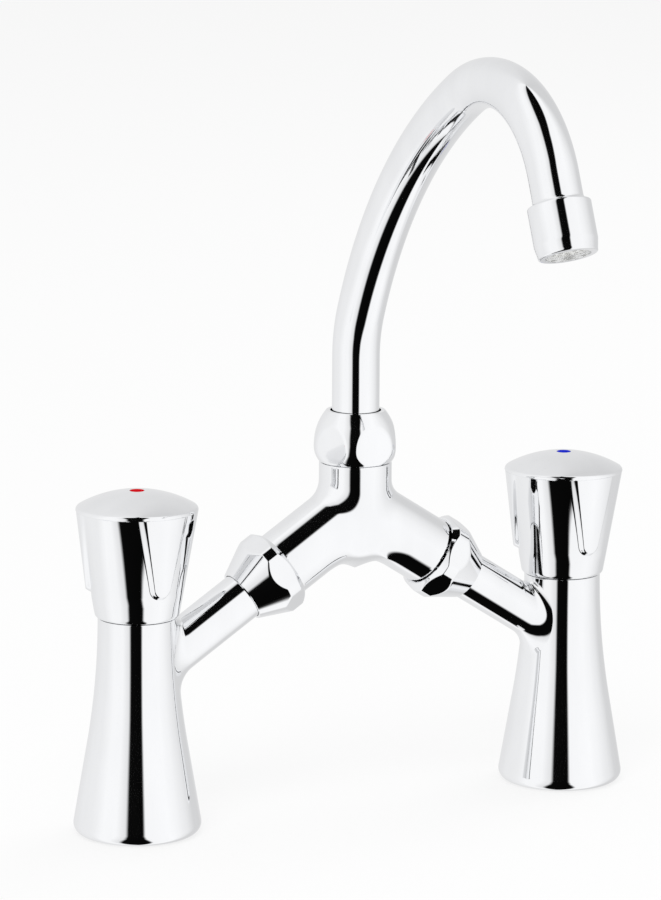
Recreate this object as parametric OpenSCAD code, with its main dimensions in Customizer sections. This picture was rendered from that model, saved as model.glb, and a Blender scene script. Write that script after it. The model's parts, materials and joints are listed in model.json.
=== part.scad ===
// Two-handle deck mixer with a bridge between its taps and a swivelling swan-neck spout.
// Millimetres. The origin is on the deck midway between the taps, +X points to the cold tap,
// +Z is up and the spout reaches towards -Y.

/* [Taps] */
// Distance between the two tap centres
tap_spacing = 180; // [160:1:210]
// Height of a pillar above the deck
pillar_h = 81.5; // [80:0.5:95]
// Widest diameter of a pillar's foot
foot_d = 47.6; // [44:0.2:54]
// Radius that rounds the foot's lower edge
foot_round = 3.9; // [1:0.1:5]
// Diameter at a pillar's top
pillar_top_d = 29.2; // [28.6:0.1:32]
// Height where the foot's cone turns into the long hollow curve
cone_top_z = 32; // [20:1:40]
// Radius of the long hollow curve
hollow_r = 280; // [240:5:400]
// Diameter of the socket for the supply pipe, at the crests of its thread
inlet_d = 18.64; // [14:0.02:19.4]
// Depth of the supply socket
inlet_depth = 16; // [10:1:24]
// Diameter of the passage up to the valve seat
water_d = 13; // [8:0.5:13.5]
// Height of the water outlet's axis on the pillar's centre line
port_z = 58; // [56:0.5:59]
// Inner diameter of the seal under the foot
base_seal_d = 30; // [26:0.5:32]
// Width of the seal under the foot
base_seal_w = 3.8; // [2:0.1:4]
// Thickness of the seal under the foot
base_seal_t = 2; // [1:0.1:4]

/* [Arms and unions] */
// Slope of the arms below the horizontal
arm_slope = 32.5; // [28:0.5:36]
// Diameter of a pillar's arm
arm_d = 18.4; // [16:0.1:18.6]
// Diameter of the waterway in a pillar's arm
arm_bore_d = 9; // [6:0.5:9.2]
// Distance along the arm from the meeting point of the two axes to the big end of the union nut
union_start = 36.9; // [34:0.1:45]
// Length of a union nut
union_len = 18.8; // [18:0.1:24]
// Distance across the flats of a union nut
union_af = 28.5; // [28.2:0.1:32]
// Turned diameter of a union nut at its corners
union_d = 33; // [29:0.1:36]
// Diameter of a union nut's small end
union_small_d = 20.6; // [20:0.1:24]
// Length of the cone at a union nut's small end
union_cone_len = 12; // [8:0.1:14]
// Turn of a union nut about its axis
union_turn = -8.5; // [-30:0.5:30]
// Diameter of the thread between a union nut and the bridge
union_thread_d = 24; // [22:0.1:24.4]

/* [Bridge] */
// Diameter of the bridge's arms
bridge_d = 26; // [25:0.1:26.8]
// Bend radius of the bridge's centre line
bridge_bend_r = 38; // [30:0.5:42]
// Diameter of the waterway in the bridge
bridge_bore_d = 14; // [8:0.5:15]
// Diameter of the upright stem
stem_d = 27.4; // [26:0.1:28.4]
// Height of the stem's shoulder above the top of the bend's centre line
stem_h = 23; // [20:0.5:30]
// Diameter of the stem's thread
stem_thread_d = 24; // [23.6:0.1:24.6]
// Length of the stem's thread
stem_thread_len = 9.7; // [8:0.1:10.5]

/* [Swivel nut] */
// Distance across the flats of the swivel nut
swivel_af = 27; // [26.6:0.1:30]
// Widest turned diameter of the swivel nut
swivel_d = 31.2; // [29:0.1:34]
// Height of the swivel nut
swivel_h = 20.2; // [18.5:0.1:24]
// Height of the swivel nut's widest place above its lower edge
swivel_waist = 6.2; // [4:0.1:8]
// Radius of the curve below the widest place
swivel_lower_r = 9.5; // [9.2:0.1:14]
// Radius of the curve above the widest place
swivel_upper_r = 21.5; // [20:0.1:30]

/* [Spout] */
// Outer diameter of the spout tube
spout_d = 18; // [16:0.1:18.4]
// Wall of the spout tube
spout_wall = 1; // [0.6:0.1:2]
// Length of the upright stretch above the swivel nut
riser_len = 20.1; // [5:0.1:60]
// Bend radius at the foot of the swan neck
bend_a_r = 44.4; // [28:0.1:60]
// Angle of the bend at the foot of the swan neck
bend_a = 22.5; // [10:0.1:35]
// Bend radius along the back of the swan neck
bend_b_r = 185.4; // [120:0.1:300]
// Angle of the bend along the back of the swan neck
bend_b = 38.5; // [20:0.1:50]
// Bend radius over the top of the swan neck
bend_c_r = 45.2; // [34:0.1:60]
// Angle of the bend over the top of the swan neck
bend_c = 96.3; // [80:0.1:105]
// Length of the straight stretch that shows above the aerator
drop_len = 10.2; // [4:0.1:40]

/* [Aerator] */
// Outer diameter of the aerator housing
aerator_d = 22.4; // [21.6:0.1:26]
// Length of the aerator housing
aerator_len = 18.4; // [17:0.1:24]
// Length of the spout's thread in the aerator housing
aerator_thread_len = 7; // [5:0.5:8]
// Number of jets in the outer ring of the insert
jets = 12; // [6:1:14]
// Diameter of a jet
jet_d = 1.7; // [1:0.1:2]

/* [Handles] */
// Height of a handle's grip, from its lower edge to the cap
grip_h = 40.2; // [38:0.1:48]
// Diameter of the grip's cone at its lower edge
grip_low_d = 31; // [29:0.1:33]
// Diameter of the round rim on top
rim_d = 45.3; // [44:0.1:50]
// Diameter over the raised lobes at the rim
lobe_top_d = 45; // [43:0.1:45.2]
// Diameter over the raised lobes at their lower end
lobe_low_d = 38; // [37:0.1:39]
// Number of raised lobes
lobes = 3; // [3:1:4]
// Width of a lobe at the rim
lobe_w = 17; // [12:0.1:19]
// Width of a lobe at its round lower end
lobe_end_w = 7.2; // [5:0.1:9]
// Height of a lobe's lower end above the grip's lower edge
lobe_z = 10.5; // [9.6:0.1:14]
// Depth of the dip beside a lobe at the rim
dip_top = 1; // [0.2:0.1:1.4]
// Turn of the first lobe from the spout's side towards the cold tap
lobe_turn = 5.5; // [-60:0.5:60]
// Height of the domed cap above the grip
cap_h = 7.3; // [5.5:0.1:8]
// Radius that rounds the rim
rim_round = 1; // [0.4:0.1:1.5]
// Diameter of the coloured index dot
index_d = 5.5; // [3:0.1:8]

/* [Headwork] */
// Lift of the valve when the handle is fully open
valve_lift = 3; // [2:0.1:3.2]
// Diameter of the rubber valve washer
valve_washer_d = 16; // [15:0.1:16.4]
// Thickness of the rubber valve washer
valve_washer_t = 3.5; // [2.5:0.1:4]
// Diameter of the bonnet's thread
bonnet_thread_d = 20.8; // [20.4:0.1:21.4]
// Distance across the flats of the bonnet's hexagon
bonnet_af = 19; // [17:0.5:20]
// Height of the bonnet's hexagon
bonnet_hex_h = 7; // [4:0.5:8]
// Diameter of the bonnet's neck
bonnet_neck_d = 14; // [13:0.5:16]
// Height of the bonnet's neck
bonnet_neck_h = 9; // [8:0.5:10]
// Diameter of the spindle's journal
journal_d = 10; // [9:0.1:10.6]
// Diameter of the spindle's toothed end and of its drive thread
drive_d = 8; // [6.5:0.1:8.4]

/* [Fits] */
// Radial clearance of a turning fit
run_gap = 0.06; // [0.02:0.01:0.1]
// Radial clearance of a screwed or pushed fit
thread_gap = 0.05; // [0.02:0.01:0.1]
// Clearance of the sliding hexagon on each flat
slide_gap = 0.1; // [0.05:0.01:0.2]
// Gap between a pillar and its handle
handle_gap = 0.3; // [0.2:0.1:1]

/* [Hidden] */
$fn = 96;
HOT = -1;
COLD = 1;
// How far a cutting shape runs past the face it cuts
cut = 1;
// Where two stretches of a bent pipe join, one is this much thinner and laps this far into the other
hair = 0.08;
lap = 0.3;

// Pillar, from the deck up
tap_x = tap_spacing / 2;
foot_r = foot_d / 2;
pillar_r = pillar_top_d / 2;
inlet_r = inlet_d / 2;
water_r = water_d / 2;
cone_top_r = pillar_r + hollow_r - sqrt(pow(hollow_r, 2) - pow(pillar_h - cone_top_z, 2));
cone_angle = atan((foot_r - cone_top_r) / (cone_top_z - foot_round));
foot_top_z = foot_round * (1 + sin(cone_angle));
foot_top_r = foot_r - foot_round * (1 - cos(cone_angle));
seat_drop = 10;
seat_z = port_z - seat_drop;
seat_lip_w = 1.4;
seat_lip_h = 1.5;
chamber_r = 10;
chamber_rise = 12.5;
chamber_top_z = port_z + chamber_rise;
ledge_z = pillar_h - 5;
bonnet_hole_r = bonnet_thread_d / 2 + thread_gap;
counterbore_r = pillar_r - 1.6;

// Arms and unions, measured along an arm from the point where the two axes meet
meet_z = port_z + tap_x * tan(arm_slope);
arm_r = arm_d / 2;
arm_axis_len = tap_x / cos(arm_slope);
union_end = union_start + union_len;
union_recess_len = 2.5;
union_thread_r = union_thread_d / 2;
bridge_end = union_start + 8.1;
union_seal_t = 1.5;
arm_end = bridge_end + union_seal_t;
union_ring_start = arm_end + 1.5;
union_ring_t = 2;
union_ring_end = union_ring_start + union_ring_t;
union_ring_groove_r = arm_r - 1;
union_ring_r = arm_r + 1.3;
union_hole_r = arm_r + 0.2;

// Bridge
bridge_r = bridge_d / 2;
bridge_bore_r = bridge_bore_d / 2;
bend_top_z = meet_z - bridge_bend_r * (1 / cos(arm_slope) - 1);
bend_end = bridge_bend_r * tan(arm_slope);
shoulder_z = bend_top_z + stem_h;
stem_top_z = shoulder_z + stem_thread_len;
stem_thread_r = stem_thread_d / 2;

// Spout's foot inside the stem
spout_r = spout_d / 2;
bush_wall = 1.6;
bush_r = spout_r + bush_wall;
bush_len = 24;
bush_z = stem_top_z - bush_len;
socket_r = bush_r + run_gap;
socket_z = bush_z - 2;
slip_ring_t = 1;
flange_z = stem_top_z + slip_ring_t;
flange_t = 2.5;
flange_r = stem_thread_r - 0.2;
swivel_ring_t = 1.5;
swivel_z = shoulder_z + 1;
swivel_top_z = swivel_z + swivel_h;
swivel_shoulder_z = flange_z + flange_t + swivel_ring_t;
oring_r = 0.5;
oring_low = 5;
oring_step = 8;
oring_places = [bush_z + oring_low, bush_z + oring_low + oring_step];

// Spout's route: each step is [bend radius, angle], or [0, length] for a straight stretch
spout_route = [
    [0, swivel_top_z + riser_len - bush_z],
    [bend_a_r, bend_a],
    [bend_b_r, bend_b],
    [bend_c_r, bend_c],
    [0, drop_len]
];
aerator_bore_r = spout_r + thread_gap;
aerator_lip_len = 1.6;
aerator_seal_t = 1.5;
strainer_t = 1.2;
seal_end = aerator_thread_len + aerator_seal_t;
strainer_end = seal_end + strainer_t;
insert_end = aerator_len - aerator_lip_len;

// Handle
grip_z = pillar_h + handle_gap;
rim_z = grip_z + grip_h;
rim_r = rim_d / 2;
low_round = 1.5;
wall_w = 1.2;
dip_low = 0.3;
face_columns = 3;
core_columns = 6;
hollow_low_r = grip_low_d / 2 - 3.3;
hollow_top_r = 16;
web_drop = 10.2;
web_z = rim_z - web_drop;
cap_recess_r = 17;
cap_recess_h = 3.7;
cap_recess_z = rim_z - cap_recess_h;
boss_r = 6.5;
screw_r = 2;
screw_head_r = 4;
screw_head_h = 2.5;
screw_head_z = cap_recess_z - 3;
dome_top_z = rim_z + cap_h;
dome_side_z = rim_z + 1.1;
dome_rise = dome_top_z - dome_side_z;
dome_r = (pow(rim_r, 2) + pow(dome_rise, 2)) / (2 * dome_rise);
index_t = 0.8;

// Headwork
flange_bonnet_z = ledge_z + 1.5;
flange_bonnet_h = 3;
hex_z = flange_bonnet_z + flange_bonnet_h;
neck_z = hex_z + bonnet_hex_h;
neck_top_z = neck_z + bonnet_neck_h;
cavity_top_z = pillar_h - 1.5;
cavity_af = 13.6;
collar_r = 6.3;
collar_h = 2.3;
collar_gap = 0.1;
collar_z = cavity_top_z - collar_gap - collar_h;
journal_r = journal_d / 2;
drive_r = drive_d / 2;
clip_z = neck_top_z + 0.45;
clip_t = 0.9;
boss_z = neck_top_z + 2;
spindle_top_z = web_z + 0.5;
drive_low_z = port_z + 4;
carrier_top_z = collar_z - valve_lift - 0.6;
carrier_low_z = seat_z + 5;
carrier_bore_z = drive_low_z - valve_lift - 2;
cup_z = seat_z + 1.5;
washer_top_z = seat_z + valve_washer_t;
washer_r = valve_washer_d / 2;
washer_screw_r = 1.9;
spindle_oring_z = neck_z + 3;
spindle_oring_r = 0.7;

// A plain ring or disc between two heights
module ring(r_out, r_in, z_low, z_high) {
    rotate_extrude()
        translate([r_in, z_low])
            square([r_out - r_in, z_high - z_low]);
}

// A hexagonal bar between two heights
module hexagon(af, z_low, z_high) {
    translate([0, 0, z_low])
        cylinder(r = af / 2 / cos(30), h = z_high - z_low, $fn = 6);
}

// Puts its children on one tap's centre line
module on_tap(side) {
    translate([side * tap_x, 0, 0])
        children();
}

// Lays its children, drawn along +Z, along one arm from the meeting point of the axes
module on_arm(side) {
    translate([0, 0, meet_z])
        mirror([side == HOT ? 1 : 0, 0, 0])
            rotate([0, 90 + arm_slope, 0])
                children();
}

// A pipe swept along the steps of a route that bends towards -Y. Every second step is the hair thinner and laps.
module swept_pipe(route, r_out, r_in, step = 0) {
    if (step < len(route)) {
        radius = route[step][0];
        extent = route[step][1];
        odd = step % 2;
        if (radius == 0) {
            ring(r_out - odd * hair, r_in + odd * hair, -odd * lap, extent + odd * lap);
            translate([0, 0, extent])
                swept_pipe(route, r_out, r_in, step + 1);
        } else {
            lap_angle = odd * lap / radius * 180 / PI;
            translate([0, -radius, 0])
                rotate([90, 0, 90])
                    rotate([0, 0, -lap_angle])
                        rotate_extrude(angle = extent + 2 * lap_angle)
                            translate([radius, 0])
                                difference() {
                                    circle(r_out - odd * hair);
                                    circle(r_in + odd * hair);
                                }
            translate([0, -radius, 0])
                rotate([extent, 0, 0])
                    translate([0, radius, 0])
                        swept_pipe(route, r_out, r_in, step + 1);
        }
    }
}

// Puts its children at the end of a route, with +Z pointing onwards
module at_end_of(route, step = 0) {
    if (step < len(route)) {
        radius = route[step][0];
        extent = route[step][1];
        straight = radius == 0;
        translate([0, -radius, straight ? extent : 0])
            rotate([straight ? 0 : extent, 0, 0])
                translate([0, radius, 0])
                    at_end_of(route, step + 1)
                        children();
    } else {
        children();
    }
}

// The outer form of a pillar: round-edged foot, cone, then one long hollow curve up to the top
module pillar_form() {
    rotate_extrude()
        intersection() {
            union() {
                translate([foot_r - foot_round, foot_round])
                    circle(foot_round);
                square([foot_r - foot_round, foot_top_z]);
            }
            square([foot_r, foot_top_z]);
        }
    translate([0, 0, foot_top_z])
        cylinder(r1 = foot_top_r, r2 = cone_top_r, h = cone_top_z - foot_top_z);
    rotate_extrude()
        difference() {
            translate([0, cone_top_z])
                square([foot_r, pillar_h - cone_top_z]);
            translate([pillar_r + hollow_r, pillar_h])
                circle(hollow_r, $fn = 720);
        }
}

// What is bored out of a pillar: supply socket, passage, valve seat, chamber and bonnet thread
module pillar_bores() {
    rotate_extrude()
        polygon([
            [0, -cut],
            [inlet_r, -cut],
            [inlet_r, inlet_depth],
            [water_r, inlet_depth],
            [water_r, seat_z],
            [water_r + seat_lip_w, seat_z],
            [water_r + seat_lip_w, seat_z - seat_lip_h],
            [chamber_r, seat_z - seat_lip_h],
            [chamber_r, chamber_top_z],
            [bonnet_hole_r, chamber_top_z],
            [bonnet_hole_r, ledge_z],
            [counterbore_r, ledge_z],
            [counterbore_r, pillar_h + cut],
            [0, pillar_h + cut]
        ]);
    ring(base_seal_d / 2 + base_seal_w, base_seal_d / 2, -cut, base_seal_t);
}

// Pillar with its arm cast on
module pillar(side) {
    color("gainsboro")
        difference() {
            union() {
                on_tap(side)
                    pillar_form();
                on_arm(side)
                    translate([0, 0, arm_end])
                        cylinder(r = arm_r, h = arm_axis_len - arm_end);
            }
            on_tap(side)
                pillar_bores();
            on_arm(side) {
                translate([0, 0, arm_end - cut])
                    cylinder(d = arm_bore_d, h = arm_axis_len - arm_end);
                ring(arm_r + cut, union_ring_groove_r, union_ring_start, union_ring_end);
            }
        }
}

// Seal that lies in the groove under the foot
module base_seal() {
    color("dimgray")
        ring(base_seal_d / 2 + base_seal_w - thread_gap, base_seal_d / 2 + thread_gap, 0, base_seal_t);
}

// Bonnet of the headwork: thread, flange, hexagon and the neck that carries the spindle
module bonnet() {
    color("goldenrod")
        difference() {
            union() {
                ring(bonnet_thread_d / 2, 0, chamber_top_z, flange_bonnet_z);
                ring(counterbore_r - 0.3, 0, flange_bonnet_z, hex_z);
                hexagon(bonnet_af, hex_z, neck_z);
                ring(bonnet_neck_d / 2, 0, neck_z, neck_top_z);
            }
            hexagon(cavity_af, chamber_top_z - cut, cavity_top_z);
            ring(journal_r + run_gap, 0, chamber_top_z, neck_top_z + cut);
        }
}

// Gasket under the bonnet's flange
module bonnet_washer() {
    color("sienna")
        ring(counterbore_r - 0.2, bonnet_hole_r, ledge_z, flange_bonnet_z);
}

// Spindle: drive thread, collar, journal and toothed end
module spindle() {
    color("goldenrod")
        difference() {
            union() {
                ring(drive_r, 0, drive_low_z, collar_z);
                ring(collar_r, 0, collar_z, collar_z + collar_h);
                ring(journal_r, 0, collar_z + collar_h, boss_z);
                ring(drive_r, 0, boss_z, spindle_top_z);
            }
            ring(journal_r + cut, journal_r - 2 * spindle_oring_r,
                spindle_oring_z - spindle_oring_r - 0.1, spindle_oring_z + spindle_oring_r + 0.1);
            ring(journal_r + cut, journal_r - 0.8, clip_z - thread_gap, clip_z + clip_t + thread_gap);
            ring(screw_r + thread_gap, 0, boss_z + 4, spindle_top_z + cut);
        }
}

// O-ring in the journal's groove
module spindle_oring() {
    color("dimgray")
        rotate_extrude()
            translate([journal_r - spindle_oring_r, spindle_oring_z])
                circle(spindle_oring_r, $fn = 32);
}

// Open clip that keeps the spindle in the bonnet
module spindle_clip() {
    color("silver")
        rotate_extrude(angle = 300)
            translate([journal_r - 0.8 + thread_gap, clip_z])
                square([2.1, clip_t]);
}

// Carrier that the spindle's thread raises and lowers in the bonnet's hexagon
module valve_carrier() {
    color("goldenrod")
        difference() {
            union() {
                hexagon(cavity_af - 2 * slide_gap, carrier_low_z, carrier_top_z);
                ring(chamber_r - 0.8, 0, cup_z, carrier_low_z);
            }
            ring(drive_r + thread_gap, 0, carrier_bore_z, carrier_top_z + cut);
            ring(washer_screw_r + thread_gap, 0, cup_z, carrier_bore_z + cut);
            ring(washer_r + thread_gap, 0, cup_z - cut, washer_top_z);
        }
}

// Rubber washer that closes on the seat
module valve_washer() {
    color("dimgray")
        ring(washer_r, washer_screw_r + thread_gap, seat_z, washer_top_z);
}

// Screw that holds the rubber washer in its cup
module washer_screw() {
    color("goldenrod") {
        ring(washer_screw_r, 0, seat_z, carrier_bore_z - 0.5);
        ring(washer_screw_r + 1.5, 0, seat_z - 1.1, seat_z);
    }
}

// Radius of the grip's plain cone at a height above its lower edge
function cone_r(h) = grip_low_d / 2 + (rim_r - grip_low_d / 2) * h / grip_h;

// Radius of the grip's plain cone with its rounded lower edge
function grip_r(h) = cone_r(h) - (h < low_round ? low_round - sqrt(pow(low_round, 2) - pow(low_round - h, 2)) : 0);

// Radius over the lobes' faces
function lobe_r(h) = (lobe_low_d + (lobe_top_d - lobe_low_d) * (h - lobe_z) / (grip_h - lobe_z)) / 2;

// Half the width of a lobe's face: a half circle at its lower end, then two straight sides
function lobe_half_w(h) =
    h < lobe_z ? 0 :
    h < lobe_z + lobe_end_w / 2 ? sqrt(pow(lobe_end_w / 2, 2) - pow(lobe_z + lobe_end_w / 2 - h, 2)) :
    (lobe_end_w + (lobe_w - lobe_end_w) * (h - lobe_z - lobe_end_w / 2) / (grip_h - lobe_z - lobe_end_w / 2)) / 2;

// Depth of the dip beside a lobe, which grows from nothing below the lobe to its full depth at the rim
function dip(h) = max(0, dip_low + (dip_top - dip_low) * (h - lobe_z) / (grip_h - lobe_z));

// Angle from a lobe's middle to a column: the face, its edge, the foot of its wall, then on to halfway between two lobes
function column_angle(h, k) =
    let(edge = asin(lobe_half_w(h) / lobe_r(h)),
        foot = edge + wall_w / lobe_r(h) * 180 / PI,
        half = 180 / lobes)
    k <= face_columns ? edge * k / face_columns :
    foot + (half - foot) * (k - face_columns - 1) / core_columns;

// Radius of a column: the lobe's face, or the cone less the dip, which fades out halfway between two lobes
function column_r(h, k) =
    k <= face_columns && h > lobe_z ? lobe_r(h) :
    grip_r(h) - dip(h) * (1 + cos(180 * max(0, k - face_columns - 1) / core_columns)) / 2;

// The three-lobed outer form of the grip, as rings of points from its lower edge to the rim
module grip_form() {
    last = face_columns + 1 + core_columns;
    across = 2 * last;
    around = lobes * across;
    rows = [
        0, low_round * 0.3, low_round, lobe_z - 3, lobe_z - wall_w / 2,
        for (turn = [12, 30, 60, 90]) lobe_z + lobe_end_w / 2 * (1 - cos(turn)),
        (lobe_z + lobe_end_w / 2 + grip_h) / 2, grip_h
    ];
    top = len(rows) - 1;
    points = [
        for (h = rows)
            for (i = [0 : lobes - 1])
                for (k = [1 - last : last])
                    let(angle = lobe_turn - 90 + i * 360 / lobes + sign(k) * column_angle(h, abs(k)),
                        radius = column_r(h, abs(k)))
                    [radius * cos(angle), radius * sin(angle), grip_z + h],
        [0, 0, grip_z],
        [0, 0, grip_z + grip_h]
    ];
    polyhedron(points, [
        for (row = [0 : top - 1])
            for (j = [0 : around - 1])
                let(a = row * around + j, b = row * around + (j + 1) % around)
                each [[a, a + around, b + around], [a, b + around, b]],
        for (j = [0 : around - 1])
            each [
                [(top + 1) * around, j, (j + 1) % around],
                [(top + 1) * around + 1, top * around + (j + 1) % around, top * around + j]
            ]
    ]);
}

// Handle: three-lobed grip over a hollow skirt, with a boss on the spindle's toothed end
module handle() {
    color("gainsboro")
        difference() {
            grip_form();
            rotate_extrude()
                polygon([
                    [0, grip_z - cut],
                    [hollow_low_r, grip_z - cut],
                    [hollow_low_r, grip_z],
                    [hollow_top_r, web_z],
                    [boss_r, web_z],
                    [boss_r, boss_z],
                    [0, boss_z]
                ]);
            ring(drive_r + thread_gap, 0, boss_z - cut, spindle_top_z);
            ring(screw_r + 0.2, 0, spindle_top_z - cut, rim_z);
            ring(screw_head_r + 0.3, 0, screw_head_z, rim_z);
            ring(cap_recess_r, 0, cap_recess_z, rim_z + cut);
        }
}

// Screw that draws the handle down on the spindle
module handle_screw() {
    color("silver") {
        ring(screw_r, 0, boss_z + 5, screw_head_z);
        difference() {
            ring(screw_head_r, 0, screw_head_z, screw_head_z + screw_head_h);
            hexagon(3, screw_head_z + 0.8, screw_head_z + screw_head_h + cut);
        }
    }
}

// Domed cap with the round rim, pushed into the top of the handle
module handle_cap() {
    color("gainsboro")
        difference() {
            union() {
                rotate_extrude()
                    intersection() {
                        translate([0, dome_top_z - dome_r])
                            circle(dome_r, $fn = 360);
                        translate([0, rim_z])
                            square([rim_r, cap_h]);
                        union() {
                            translate([0, rim_z])
                                square([rim_r - rim_round, cap_h]);
                            translate([rim_r - rim_round, dome_side_z - rim_round / 2])
                                circle(rim_round, $fn = 48);
                            translate([0, rim_z])
                                square([rim_r, dome_side_z - rim_round / 2 - rim_z]);
                        }
                    }
                ring(cap_recess_r - thread_gap, cap_recess_r - 2, cap_recess_z + 0.5, rim_z + 1);
            }
            ring(index_d / 2, 0, dome_top_z - index_t, dome_top_z + cut);
            ring(cap_recess_r - 2, 0, cap_recess_z, rim_z + 2);
        }
}

// Coloured dot let into the cap
module index_dot() {
    rotate_extrude()
        intersection() {
            translate([0, dome_top_z - dome_r])
                circle(dome_r + 0.1, $fn = 360);
            translate([0, dome_top_z - index_t])
                square([index_d / 2 - thread_gap, 2 * index_t]);
        }
}

// Union nut: six flats cut on a turned blank that tapers to the pillar's arm
module union_nut() {
    rim_chamfer = 2.1;
    color("gainsboro")
        difference() {
            intersection() {
                rotate_extrude()
                    polygon([
                        [0, union_start],
                        [union_d / 2 - rim_chamfer, union_start],
                        [union_d / 2, union_start + rim_chamfer],
                        [union_d / 2, union_end - union_cone_len],
                        [union_small_d / 2, union_end],
                        [0, union_end]
                    ]);
                rotate([0, 0, union_turn])
                    hexagon(union_af, union_start - cut, union_end + cut);
            }
            ring(bridge_r + 0.6, 0, union_start - cut, union_start + union_recess_len);
            ring(union_thread_r + thread_gap, 0, union_start, bridge_end + 1);
            ring(union_ring_r + 0.1, 0, bridge_end, union_ring_end);
            ring(union_hole_r, 0, union_ring_end - cut, union_end + cut);
        }
}

// Flat seal between the bridge's end and the pillar's arm
module union_seal() {
    color("dimgray")
        ring(arm_r - 0.1, arm_bore_d / 2 + 0.3, bridge_end, arm_end);
}

// Open ring in the arm's groove, which the union nut pulls on
module union_ring() {
    color("goldenrod")
        rotate_extrude(angle = 340)
            translate([union_ring_groove_r + thread_gap, union_ring_start])
                square([union_ring_r - union_ring_groove_r - thread_gap, union_ring_t]);
}

// The bend in the middle of the bridge, lapping into the straight arms
module bridge_bend(bend_r) {
    lap_angle = lap / bridge_bend_r * 180 / PI;
    translate([0, 0, bend_top_z - bridge_bend_r])
        rotate([90, 0, 0])
            rotate([0, 0, 90 - arm_slope - lap_angle])
                rotate_extrude(angle = 2 * (arm_slope + lap_angle))
                    translate([bridge_bend_r, 0])
                        circle(bend_r);
}

// Bridge: a bent pipe from union to union with the spout's stem on top
module bridge_body() {
    stem_r = stem_d / 2;
    recess_end = union_start + union_recess_len - 1;
    color("gainsboro")
        difference() {
            union() {
                bridge_bend(bridge_r - hair);
                for (side = [HOT, COLD]) {
                    on_arm(side) {
                        ring(bridge_r, 0, bend_end, recess_end);
                        ring(union_thread_r, 0, recess_end, bridge_end);
                    }
                }
                translate([0, 0, bend_top_z]) {
                    cylinder(r1 = bridge_r - 0.05, r2 = stem_r, h = 6);
                    ring(stem_r, 0, 6, stem_h - 0.5);
                    translate([0, 0, stem_h - 0.5])
                        cylinder(r1 = stem_r, r2 = stem_r - 0.5, h = 0.5);
                }
                ring(stem_thread_r, 0, shoulder_z, stem_top_z);
            }
            bridge_bend(bridge_bore_r + hair);
            for (side = [HOT, COLD]) {
                on_arm(side)
                    ring(bridge_bore_r, 0, bend_end, bridge_end + cut);
            }
            ring(bridge_bore_r + 1, 0, bend_top_z, socket_z);
            ring(socket_r, 0, socket_z, stem_top_z + cut);
        }
}

// Swivel nut: six flats cut on a turned blank with two curves
module swivel_nut() {
    waist_z = swivel_z + swivel_waist;
    color("gainsboro")
        difference() {
            intersection() {
                rotate_extrude() {
                    intersection() {
                        translate([swivel_d / 2 - swivel_lower_r, waist_z])
                            circle(swivel_lower_r);
                        translate([0, swivel_z])
                            square([swivel_d / 2, swivel_waist]);
                    }
                    intersection() {
                        translate([swivel_d / 2 - swivel_upper_r, waist_z])
                            circle(swivel_upper_r, $fn = 180);
                        translate([0, waist_z])
                            square([swivel_d / 2, swivel_h - swivel_waist]);
                    }
                }
                hexagon(swivel_af, swivel_z - cut, swivel_top_z + cut);
            }
            ring(stem_thread_r + thread_gap, 0, swivel_z - cut, swivel_shoulder_z);
            ring(spout_r + 0.6, 0, swivel_shoulder_z - cut, swivel_top_z + cut);
        }
}

// Ring on top of the stem that the spout's flange slides on
module slip_ring() {
    color("whitesmoke")
        ring(flange_r, bush_r + 0.1, stem_top_z, flange_z);
}

// Ring between the spout's flange and the swivel nut
module swivel_ring() {
    color("whitesmoke")
        ring(flange_r, spout_r + 0.4, flange_z + flange_t, swivel_shoulder_z);
}

// Spout tube, bent to the swan neck and run on into the aerator housing
module spout_tube() {
    tube_route = [for (i = [0 : len(spout_route) - 1])
        i == len(spout_route) - 1 ? [0, drop_len + aerator_thread_len] : spout_route[i]];
    color("gainsboro")
        translate([0, 0, bush_z])
            swept_pipe(tube_route, spout_r, spout_r - spout_wall);
}

// Flanged bush brazed on the foot of the spout, with two grooves
module spout_bush() {
    color("goldenrod")
        difference() {
            union() {
                ring(bush_r, spout_r + thread_gap, bush_z, flange_z);
                ring(flange_r, spout_r + thread_gap, flange_z, flange_z + flange_t);
            }
            for (z = oring_places)
                ring(bush_r + cut, bush_r - 2 * oring_r, z - oring_r - 0.1, z + oring_r + 0.1);
        }
}

// The two O-rings in the bush's grooves
module spout_orings() {
    color("dimgray")
        for (z = oring_places)
            rotate_extrude()
                translate([bush_r - oring_r, z])
                    circle(oring_r, $fn = 32);
}

// Puts its children on the aerator's axis, with the housing's top edge at zero
module on_aerator() {
    translate([0, 0, bush_z])
        at_end_of(spout_route)
            children();
}

// Aerator housing: a sleeve screwed on the spout, with a lip below
module aerator_housing() {
    outer_r = aerator_d / 2;
    color("gainsboro")
        on_aerator()
            rotate_extrude()
                polygon([
                    [aerator_bore_r, 0],
                    [outer_r - 0.7, 0],
                    [outer_r, 0.7],
                    [outer_r, aerator_len - 4.5],
                    [outer_r - 0.9, aerator_len - 0.5],
                    [outer_r - 1.5, aerator_len],
                    [aerator_bore_r - 1, aerator_len],
                    [aerator_bore_r - 1, insert_end],
                    [aerator_bore_r, insert_end]
                ]);
}

// Seal between the spout's end and the aerator
module aerator_seal() {
    color("dimgray")
        on_aerator()
            ring(spout_r - 0.1, spout_r - 2.5, aerator_thread_len, seal_end);
}

// Perforated plate that lies on the insert
module aerator_strainer() {
    hole_d = 2.2;
    color("silver")
        on_aerator()
            difference() {
                ring(spout_r - 0.05, 0, seal_end, strainer_end);
                for (i = [0 : 5])
                    rotate([0, 0, 60 * i])
                        translate([4, 0, seal_end - cut])
                            cylinder(d = hole_d, h = strainer_t + 2 * cut);
            }
}

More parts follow.
